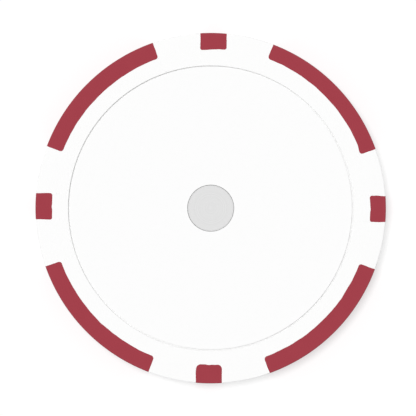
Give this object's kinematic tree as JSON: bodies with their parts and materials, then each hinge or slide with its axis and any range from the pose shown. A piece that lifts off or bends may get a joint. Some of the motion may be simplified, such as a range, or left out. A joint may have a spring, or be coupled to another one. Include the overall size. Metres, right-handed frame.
{
  "type": "poker chip",
  "caption": "Round weighted poker chip with red edge spots let into a white moulded rim, plain inlays recessed in both faces and a steel pin at the centre.",
  "frame": {"origin": "centre of the rim face that the chip lies on", "axes": "+Z along the chip's axis, up through the front face; +X through the middle of the first short edge spot"},
  "size_m": [0.04, 0.04, 0.0033],
  "materials": {
    "body_white": "fine moulded grain",
    "spot_red": "fine moulded grain",
    "inlay_white": "satin, blank",
    "pin_steel": "satin turned",
    "slug_steel": "stamped"
  },
  "bodies": {
    "root": {"chip_body": "body_white", "weight_slug": "slug_steel", "centre_pin": "pin_steel", "front_inlay": "inlay_white", "back_inlay": "inlay_white", "long_spot_1": "spot_red", "long_spot_2": "spot_red", "long_spot_3": "spot_red", "long_spot_4": "spot_red", "short_spot_1": "spot_red", "short_spot_2": "spot_red", "short_spot_3": "spot_red", "short_spot_4": "spot_red"}
  },
  "joints": []
}
